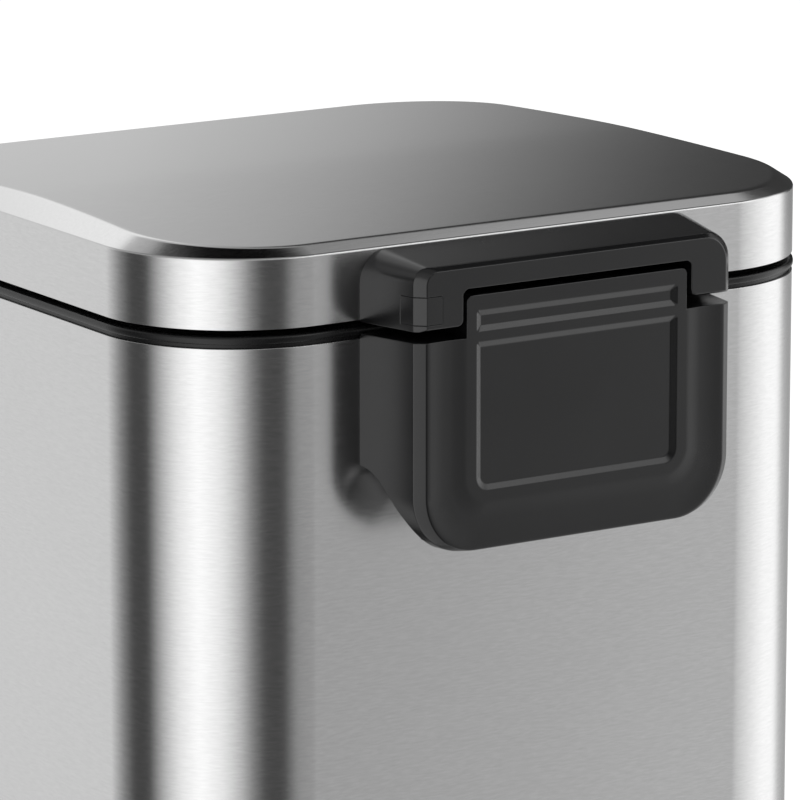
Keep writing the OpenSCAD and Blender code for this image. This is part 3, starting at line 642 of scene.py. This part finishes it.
def make_lid():
    """Lid with a folded edge on its skirt, a bevel and an arched top, one closed sheet."""
    inner = bevel_w + sheet
    lid = outline("steel_lid", inner, lid_edge - sheet)
    raise_edge(lid, inner)
    close_top(lid)
    pick(lid, "edges", lambda m, e: e.is_boundary)
    extrude()
    level(lid, sheet, skirt_top - sheet / 2)
    rows(lid, [(sheet, skirt_top - sheet / 2), (sheet, skirt_z + hem_h), (hem_w, skirt_z + hem_h),
               (hem_w, skirt_z), (0, skirt_z), (0, skirt_top), (bevel_w, lid_edge)])
    raise_edge(lid, bevel_w)
    extrude()
    level(lid, bevel_w + top_band, lid_edge)
    raise_edge(lid, bevel_w)
    close_top(lid)
    face_out()
    round_lid_edge(lid, lambda y: lid_edge + arch(y, half_d - bevel_w), top_round, 4)
    round_lid_edge(lid, lambda y: skirt_top, skirt_round, 6)
    soften(lid, width=0.3, angle=lid_sharp)
    dress(lid, wall_steel, top_steel)
    for face in lid.data.polygons:
        if face.normal.z > 0.5:
            face.material_index = 1
    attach(lid, "lid")
    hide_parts("lid_shell")


# Pieces whose solids are right and only need their moulded edges softened
def merged_copy(name, node):
    """Copy of a node's mesh with its triangles joined to plain faces."""
    start()
    piece = bpy.data.objects.new(name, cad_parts[node].data.copy())
    piece.data.name = name
    bpy.context.scene.collection.objects.link(piece)
    opened(piece)
    weld(0.01)
    join_flat()
    return piece


def moulded(name, node, width, material, body):
    """Copy of a node's mesh with softened edges, which stands in for the node."""
    piece = merged_copy(name, node)
    soften(piece, width, angle=25)
    dress(piece, material)
    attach(piece, body)
    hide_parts(node)


# Housing sizes, seen from behind
hinge_half_wall = 83.0
hinge_half_side = 77.0
hinge_half_face = 72.9
side_y = 171.7
chin_z = shoulder_z - 86.5
corner = 24.0
face_edge = 0.3
plateau_bottom = chin_z + 19.5
plateau_corner = 11.0

# Tongue
tongue_half = 53.7
tongue_y = 159.3
tongue_lift = 4.1
tongue_top = pin_z + tongue_lift
tongue_root = 8.0
tongue_corner = 2.4
tongue_edge = 0.9

# Recesses of the housing's face
recess_half = 49.0
recess_bevel = 2.6
recess_deep = 1.4
recess_mouth_r = 0.6
recess_bed_r = 0.3
pane_corner = 6.0
band_top = pin_z - 2
band_bottom = band_top - 8.9
pane_top = band_bottom - 3.8
pane_bottom = pane_top - 60.6

# Underside: its rise at the middle and at the sides, and where the one goes over into the other
side_lift = 32.7
side_turn = 85.0
middle_lift = 18.0
blend_x = 61.0
blend_w = 17.0

# Wings: depth of the dish at shares of the way from the housing's edge to the tongue
wing_dish = [(0.05, 0.1), (0.12, 0.22), (0.22, 0.42), (0.35, 0.62), (0.5, 0.74), (0.62, 0.74), (0.74, 0.6),
             (0.84, 0.38), (0.92, 0.18), (1.0, 0.0)]

# Hollow of the housing with its screw bosses, ribs, slots for the cranks and seat of the damper
hollow_half = 66.9
hollow_bottom = chin_z + 20.6
hollow_top = shoulder_z - 2.6
hollow_face = 3.8
boss_x = 64.0
boss_drops = (24.0, 60.0)
boss_y = wall_y + 14.75
boss_r = 4.6
rib_places = (21.4, 32.2)
rib_w = 2.4
rib_h = 8.5
rib_front = 2.0
rib_face = 3.0
slot_half = 7.5
slot_drop = 5.0
slot_y = 172.4
damper_x = 28.0
damper_y = 155.24
damper_lift = 4.0
damper_bore_r = 2.05


def recess(name, top, bottom, r):
    """Cutter for a recess with bevelled sides."""
    lift = 0.6
    grow = recess_bevel * lift / recess_deep
    mouth_y, bed_y = rear_y + lift, rear_y - recess_deep
    mouth = rounded(recess_half + grow, bottom - grow, top + grow, r + grow, recess_mouth_r + grow, mouth_y)
    bed = rounded(recess_half - recess_bevel, bottom + recess_bevel, top - recess_bevel,
                  max(r - recess_bevel, recess_bed_r), recess_bed_r, bed_y)
    return solid(name, [mouth, bed], mouth_y, bed_y)


def under(x, y):
    """Height of the housing's underside: raised towards the wall, most of all at the sides."""
    t = min(max((y - wall_y) / (side_y - wall_y), 0), 1)
    middle = middle_lift * (1 + math.cos(math.pi * t)) / 2
    side = side_lift * math.cos(math.radians(side_turn * t))
    share = min(max((abs(x) - blend_x) / blend_w, 0), 1)
    share = share * share * (3 - 2 * share)
    return chin_z + middle + (side - middle) * share


def housing_skin():
    """Outer skin of the housing, with its dished wings round the raised panel."""
    rings = [low_u(hinge_half_wall, chin_z, corner, shoulder_z, wall_y),
             low_u(hinge_half_side, chin_z, corner, shoulder_z, side_y),
             low_u(hinge_half_face, chin_z + face_edge, corner, shoulder_z, rear_y - face_edge)]
    for share, depth in wing_dish:
        rings.append(low_u(between(hinge_half_face, tongue_half, share),
                           chin_z + face_edge + (plateau_bottom - chin_z) * share,
                           between(corner, plateau_corner, share), shoulder_z, rear_y - depth))
    housing = loft("hinge_moulding", rings, False)
    cap(housing, wall_y)
    cap(housing, rear_y)
    pick(housing, "edges", lambda m, e: e.is_boundary)
    bpy.ops.mesh.edge_face_add()
    finish_shell()
    return housing


def underside():
    """Cutter that gives the housing its rising underside."""
    half, steps, deep = 92, 28, 60
    first_y, run = wall_y - 2, side_y + 4.5 - wall_y
    lines = []
    for k in range(steps + 1):
        y = first_y + run * k / steps
        lines.append([(x, y, under(x, y)) for x in range(-half, half + 1, 2)])
    cutter = loft("underside", lines, False)
    bpy.ops.mesh.select_all(action="SELECT")
    bpy.ops.mesh.extrude_region_move(TRANSFORM_OT_translate={"value": (0, 0, -deep * MM)})
    finish_shell()
    return cutter


def tongue_block():
    """Tongue with rounded upper corners and edges, which fills the bracket's notch."""
    tongue = block("tongue", (-tongue_half, tongue_y, shoulder_z - tongue_root),
                   (tongue_half, rear_y, tongue_top))
    opened(tongue)
    pick(tongue, "edges", lambda m, e: m.z > tongue_top - 1 and abs(m.x) > tongue_half - 1)
    round_edges(tongue_corner, 6)
    pick(tongue, "edges", lambda m, e: m.z > tongue_top - 0.1 and abs(m.x) < 1)
    round_edges(tongue_edge, 4)
    finish_shell()
    return tongue


def make_housing():
    """Moulded housing on the can's back, with its tongue, its recesses and its hollow."""
    housing = housing_skin()
    cut(housing, underside())
    cut(housing, tongue_block(), "UNION")
    cut(housing, block("hollow", (-hollow_half, wall_y - past, hollow_bottom),
                       (hollow_half, rear_y - hollow_face, hollow_top)))
    bosses = [(side * boss_x, shoulder_z - drop) for side in (-1, 1) for drop in boss_drops]
    for x, z in bosses:
        cut(housing, rod("boss", (x, boss_y, z), along_y, radius=boss_r, length=28.5), "UNION")
    for x in rib_places:
        cut(housing, block("rib", (x, wall_y + rib_front, hollow_bottom - past),
                           (x + rib_w, rear_y - rib_face, hollow_bottom + rib_h)), "UNION")
    for x, z in bosses:
        cut(housing, rod("screw_bore", (x, wall_y + 10, z), along_y, radius=screw_bore_r, length=24))
    for x in crank_places:
        cut(housing, block("crank_slot", (x - slot_half, wall_y - past, hollow_top - slot_drop),
                           (x + slot_half, slot_y, tongue_top + past)))
    cut(housing, rod("pin_bore", (0, pin_y, pin_z), along_x, radius=pin_bore_r, length=120))
    cut(housing, rod("damper_bore", (damper_x, damper_y, hollow_bottom + damper_lift), along_x,
                     radius=damper_bore_r, length=16))
    cut(housing, block("rebate", (-across, wall_y - past, bead_z - seat),
                       (across, wall_y + bead_out + seat, shoulder_z + past)))
    cut(housing, recess("band_recess", band_top, band_bottom, recess_mouth_r))
    cut(housing, recess("pane_recess", pane_top, pane_bottom, pane_corner))
    mend(housing)
    soften(housing, width=0.35, angle=24, clamp=False)
    dress(housing, hinge_black)
    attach(housing, "can_body")
    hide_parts("hinge_housing")


# Bracket sizes: it slopes down and draws in from the wall, then a chamfer leads to the rear face
bracket_top = skirt_top - 0.5
bracket_slope = 3.0
bracket_edge = 1.7
bracket_draw = 4.0
lower_edge = 1.0
top_edge = 2.2
wall_corner = 13.0
cover_corner = 7.0
far_corner = 12.0

# Notch for the tongue
notch_half = 55.7
notch_top = pin_z + 7.1
notch_low = 6.0
notch_foot_r = 1.0
notch_corner = 3.0
notch_foot = 2.3
notch_y = wall_y + wall + 0.5
roof_gap = 0.5

# Pockets between the screws as (half width, middle), the screws, and the cranks
pockets = ((13, -43), (18, 0), (13, 43))
pocket_deep = 14.0
pocket_wall = 2.6
screw_places = (-66.0, -24.0, 24.0, 66.0)
screw_drop = 10.0
crank_half = 7.0
crank_out = 4.6
crank_rise = 0.9
crank_deep = 40.0

# Ends of the pin's bore, and the seat of the cover that closes it
pin_first = -74.0
pin_last = 66.5
cover_x = 65.5
cover_y = pin_y - 2.7
cover_h = 11.2


def bracket_ring(y, half, bottom, top, r_cover, r_far):
    """Closed outline of the bracket at one depth, with its two upper corners rounded."""
    steps = 12
    points = [(half, y, bottom)]
    for side, r in ((1, r_cover), (-1, r_far)):
        turns = [math.radians(90.0 * k / steps) for k in range(steps + 1)]
        for turn in turns[::side]:
            points.append((side * (half - r + r * math.cos(turn)), y, top - r + r * math.sin(turn)))
    return points + [(-half, y, bottom)]


def bracket_skin():
    """Outer skin of the bracket."""
    steps = 4
    rings = []
    for k in range(steps + 1):
        share = k / steps
        half = between(hinge_half_wall, hinge_half_side, share)
        r_cover, r_far = between(wall_corner, cover_corner, share), between(wall_corner, far_corner, share)
        rings.append(bracket_ring(between(wall_y, side_y, share), half, bracket_z,
                                  bracket_top - bracket_slope * share, r_cover, r_far))
    edge_y = face_y - top_edge
    edge_top = bracket_top - bracket_slope * (edge_y - wall_y) / (side_y - wall_y)
    edge_half = hinge_half_side - bracket_draw * (edge_y - side_y) / (face_y - side_y)
    rings.append(bracket_ring(edge_y, edge_half, bracket_z, edge_top, cover_corner, far_corner))
    rings.append(bracket_ring(face_y, hinge_half_side - bracket_draw, bracket_z + lower_edge,
                              edge_top - bracket_edge, cover_corner - bracket_edge, far_corner - bracket_edge))
    return solid("hinge_bracket", rings, wall_y, face_y)


def notch_sill(middle, edge):
    """Whether an edge runs from front to back along the foot of one of the notch's sides."""
    run = (edge.verts[0].co - edge.verts[1].co) / MM
    at_foot = abs(abs(middle.x) - notch_half) < 0.01 and middle.z < bracket_z + lower_edge + 0.1
    return at_foot and abs(run.z) < lower_edge + 0.05 and abs(run.y) > 1


def make_bracket():
    """Bracket on the lid's back skirt, with the notch, the cranks and the bores of its screws."""
    bracket = bracket_skin()
    ends = (notch_y, face_y + past)
    rings = [rounded(notch_half, bracket_z - notch_low, notch_top, notch_foot_r, notch_corner, y)
             for y in ends]
    cut(bracket, solid("notch", rings, *ends))
    opened(bracket)
    pick(bracket, "edges", notch_sill)
    round_edges(notch_foot, 6)
    bpy.ops.object.mode_set(mode="OBJECT")
    cut(bracket, rod("roof", (0, pin_y, pin_z), along_x,
                     radius=math.hypot(pin_in, tongue_lift) + roof_gap, length=2 * notch_half))
    for half, middle in pockets:
        cut(bracket, block("pocket", (middle - half, wall_y - past, notch_top + pocket_wall),
                           (middle + half, wall_y + pocket_deep, bracket_top - bracket_slope - pocket_wall)))
    # The cranks come from the source's solid
    for x in crank_places:
        crank = merged_copy("crank", "lid_bracket")
        cut(crank, block("crank_space", (x - crank_half, notch_y - 0.5, shoulder_z - crank_deep),
                         (x + crank_half, pin_y + crank_out, notch_top + crank_rise)), "INTERSECT")
        cut(bracket, crank, "UNION")
    cut(bracket, rod("pin_bore", ((pin_first + pin_last) / 2, pin_y, pin_z), along_x,
                     radius=pin_bore_r, length=pin_last - pin_first))
    for x in screw_places:
        cut(bracket, rod("screw_bore", (x, wall_y + 6.5, bracket_top - screw_drop), along_y,
                         radius=screw_bore_r, length=15))
    cut(bracket, block("cover_seat", (cover_x, cover_y, pin_z - cover_h / 2),
                       (across, face_y + 5 * past, pin_z + cover_h / 2)))
    mend(bracket)
    soften(bracket, width=0.4, angle=24, clamp=False)
    # Points that the softening pushed past the rear face go back onto it
    opened(bracket)
    pick(bracket, "verts", lambda m, v: m.y > face_y + 0.01)
    bpy.ops.transform.resize(value=(1, 0, 1), center_override=(0, face_y * MM, 0))
    bpy.ops.object.mode_set(mode="OBJECT")
    dress(bracket, hinge_black)
    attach(bracket, "lid")
    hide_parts("lid_bracket")


make_body()
make_rim()
make_lid()
make_housing()
make_bracket()
moulded("hinge_cover", "pin_cover", 0.2, hinge_black, "lid")
moulded("moulded_base", "base_pan", 0.5, inner_black, "can_body")
moulded("foot_pads", "rubber_feet", 0.8, rubber, "can_body")
moulded("lid_pan", "lid_liner", 0.5, inner_black, "lid")
moulded("bucket_shell", "inner_bucket", 0.6, bucket_grey, "bucket")
moulded("tread_pad", "pedal_tread", 1.2, inner_black, "pedal")
moulded("lever_arm", "pedal_lever", 0.5, zinc, "pedal")
moulded("rod_guide", "rod_channel", 0.4, inner_black, "can_body")

# Pieces whose solids are right as they are
carried = {
    "foot_screws": zinc, "pedal_axle": rod_steel, "axle_clips": rod_steel, "backing_plate": zinc,
    "housing_screws": zinc, "hinge_pin": rod_steel, "damper_body": inner_black, "damper_pin": rod_steel,
    "bracket_screws": zinc, "crank_pins": rod_steel, "lid_buffers": rubber, "pedal_rivets": zinc,
    "push_rod": rod_steel, "damper_rod": rod_steel}
for node, material in carried.items():
    dress(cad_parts[node], material)

# Camera at the photograph's angle, in metres, with its lens and film in millimetres
camera_place = (1.369, 2.084, 0.886)
camera_aim = (0.2353, 0.3979, 0.450)
camera_lens = 270.99
camera_film = 36


def aimed(place, aim):
    """Turn of a camera or lamp that stands at a place and looks at the aim."""
    return (Vector(aim) - Vector(place)).to_track_quat("-Z", "Y").to_euler()


def make_camera():
    """Camera that takes the picture from the photograph's angle."""
    start()
    camera_data = bpy.data.cameras.new("camera")
    camera_data.lens = camera_lens
    camera_data.sensor_width = camera_film
    camera_data.clip_end = 60
    camera = bpy.data.objects.new("camera", camera_data)
    bpy.context.scene.collection.objects.link(camera)
    camera.location = camera_place
    camera.rotation_euler = aimed(camera_place, camera_aim)
    bpy.context.scene.camera = camera


# Floor, which reads white and keeps the shadow; its own light is taken away under the can, which paints shade
# there, and these insets from the can's sides say where that painted shade begins to lift and where it is gone
floor_tone = 0.86
floor_glow = 0.45
painted_shade_lifts = 60.0
painted_shade_gone = 10.0


def make_floor():
    """White floor, whose own light only the camera sees, and only beside the can; taking that light away under
    the can paints shade there.
    """
    start()
    bpy.ops.mesh.primitive_plane_add(size=40, location=(0, 0, 0))
    floor = bpy.context.active_object
    floor.name = "floor"
    floor_mat, nodes, links, shader = new_material("pale_floor")
    shader.inputs["Base Color"].default_value = (floor_tone, floor_tone, floor_tone, 1)
    shader.inputs["Roughness"].default_value = 0.9
    shader.inputs["Specular IOR Level"].default_value = 0.0
    path = nodes.new("ShaderNodeLightPath")
    spot = nodes.new("ShaderNodeTexCoord")
    parts = nodes.new("ShaderNodeSeparateXYZ")
    links.new(spot.outputs["Object"], parts.inputs["Vector"])
    # Painted shade: the floor's own light fades out towards the can's middle, so the floor under the can reads
    # dark
    beside = []
    for axis, half in (("X", half_w), ("Y", half_d)):
        distance = reckon(nodes, links, "ABSOLUTE", parts.outputs[axis])
        near, far = (half - painted_shade_lifts) * MM, (half - painted_shade_gone) * MM
        beside.append(spread(nodes, links, distance, 0.0, 1.0, near, far))
    glow = reckon(nodes, links, "MULTIPLY", reckon(nodes, links, "MAXIMUM", *beside), floor_glow)
    seen = reckon(nodes, links, "MULTIPLY", path.outputs["Is Camera Ray"], glow)
    shader.inputs["Emission Color"].default_value = (1, 1, 1, 1)
    links.new(seen, shader.inputs["Emission Strength"])
    floor.data.materials.append(floor_mat)
    floor.visible_glossy = False


# Studio that only gloss can see: bright and dark screens by direction, in rings one over the other
tent_r = 4.0
brightest = 2.0

# Stops that the walls reflect, shared by the two lowest rings
walls = [(-58, 0.94), (-40.5, 0.32), (-29, 0.08), (-13, 0.08), (0, 0.72), (12, 1.25), (28, 1.65), (45, 1.32),
         (58, 0.8), (68, 0.3), (77, 0.09), (92, 0.08), (103, 0.42), (118, 0.45), (127, 0.64), (140, 1.0),
         (163, 1.5), (180, 1.5)]
ground_stops = [(-180, 1.5), (-168, 0.7), (-150, 0.45), (-110, 0.7)] + walls
low_stops = [(-180, 1.5), (-172, 0.55), (-165, 0.12), (-158, 0.05), (-132, 0.05), (-129.7, 0.08),
             (-128, 0.15), (-126.4, 0.24), (-125.2, 0.33), (-123.3, 0.47), (-119.5, 0.66),
             (-112, 0.74)] + walls
middle_stops = [(-180, 0.6), (-160, 0.5), (-153, 0.04), (-126, 0.04), (-116, 1.0), (-108, 1.25), (-85, 1.3),
                (-68, 0.55), (-45, 0.5), (0, 0.5), (90, 0.6), (115, 1.9), (150, 1.9), (180, 0.6)]
upper_stops = [(-180, 0.0), (-167, 0.05), (-156, 0.6), (-153, 0.6), (-148, 0.34), (-130, 0.4), (-110, 0.7),
               (-85, 0.7), (-65, 0.3), (-45, 0.3), (0, 0.5), (150, 0.5), (170, 0.0), (180, 0.0)]
high_stops = [(-180, 0.0), (-85, 0.0), (-60, 0.3), (150, 0.3), (168, 0.0), (180, 0.0)]

# Elevations in degrees between which each ring goes over into the next
rings_over = [(-6, 1, low_stops), (29, 36, middle_stops), (44, 49, upper_stops), (56, 64, high_stops)]


def screens(nodes, links, around, stops):
    """Brightness round the studio; stops are (azimuth in degrees, brightness)."""
    ramp = nodes.new("ShaderNodeValToRGB")
    ramp.color_ramp.interpolation = "LINEAR"
    elements = ramp.color_ramp.elements
    while len(elements) > 1:
        elements.remove(elements[-1])
    for k, (azimuth, value) in enumerate(stops):
        place = azimuth / 360 + 0.5
        element = elements[0] if k == 0 else elements.new(place)
        element.position = place
        element.color = (value / brightest,) * 3 + (1,)
    links.new(around, ramp.inputs["Fac"])
    return ramp.outputs["Color"]


def make_studio():
    """Ball round the scene that glows with the rings of screens."""
    start()
    bpy.ops.mesh.primitive_uv_sphere_add(segments=64, ring_count=32, radius=tent_r, location=(0, 0, 0))
    tent = bpy.context.active_object
    tent.name = "studio_screens"
    bpy.ops.object.shade_smooth()
    tent_mat = bpy.data.materials.new("studio_screens")
    tent_mat.use_nodes = True
    nodes, links = tent_mat.node_tree.nodes, tent_mat.node_tree.links
    nodes.clear()
    out = nodes.new("ShaderNodeOutputMaterial")
    light = nodes.new("ShaderNodeEmission")
    links.new(light.outputs["Emission"], out.inputs["Surface"])
    coords = nodes.new("ShaderNodeTexCoord")
    gradient = nodes.new("ShaderNodeTexGradient")
    gradient.gradient_type = "RADIAL"
    links.new(coords.outputs["Object"], gradient.inputs["Vector"])
    around = gradient.outputs["Fac"]
    split = nodes.new("ShaderNodeSeparateXYZ")
    links.new(coords.outputs["Object"], split.inputs["Vector"])
    shade = screens(nodes, links, around, ground_stops)
    for low, high, stops in rings_over:
        ends = [tent_r * math.sin(math.radians(elevation)) for elevation in (low, high)]
        share = spread(nodes, links, split.outputs["Z"], 0.0, 1.0, *ends, kind="SMOOTHSTEP")
        shade = blend(nodes, links, share, shade, screens(nodes, links, around, stops))
    links.new(shade, light.inputs["Color"])
    light.inputs["Strength"].default_value = brightest
    tent.data.materials.append(tent_mat)
    tent.visible_camera = False
    tent.visible_diffuse = False
    tent.visible_transmission = False
    tent.visible_shadow = False


def make_world():
    """World that is white for the camera and soft grey for everything else."""
    for_light, for_camera = 0.6, 1.0
    world = bpy.data.worlds.new("studio")
    bpy.context.scene.world = world
    world.use_nodes = True
    nodes, links = world.node_tree.nodes, world.node_tree.links
    path = nodes.new("ShaderNodeLightPath")
    strength = spread(nodes, links, path.outputs["Is Camera Ray"], for_light, for_camera, 0.0, 1.0)
    back = nodes["Background"]
    back.inputs["Color"].default_value = (1, 1, 1, 1)
    links.new(strength, back.inputs["Strength"])


def soft_lamp(name, place, size, power):
    """Soft lamp that points at the middle of the can."""
    data = bpy.data.lights.new(name, "AREA")
    data.shape = "DISK"
    data.size = size
    data.energy = power
    lamp = bpy.data.objects.new(name, data)
    bpy.context.scene.collection.objects.link(lamp)
    lamp.location = place
    lamp.rotation_euler = aimed(place, (0, 0, 0.25))
    lamp.visible_glossy = False


make_camera()
make_floor()
make_studio()
make_world()
soft_lamp("key_lamp", (2.2, -0.6, 2.6), size=1.8, power=45)
soft_lamp("fill_lamp", (-1.6, 2.4, 2.2), size=1.8, power=22)

bpy.context.scene.view_settings.view_transform = "Standard"
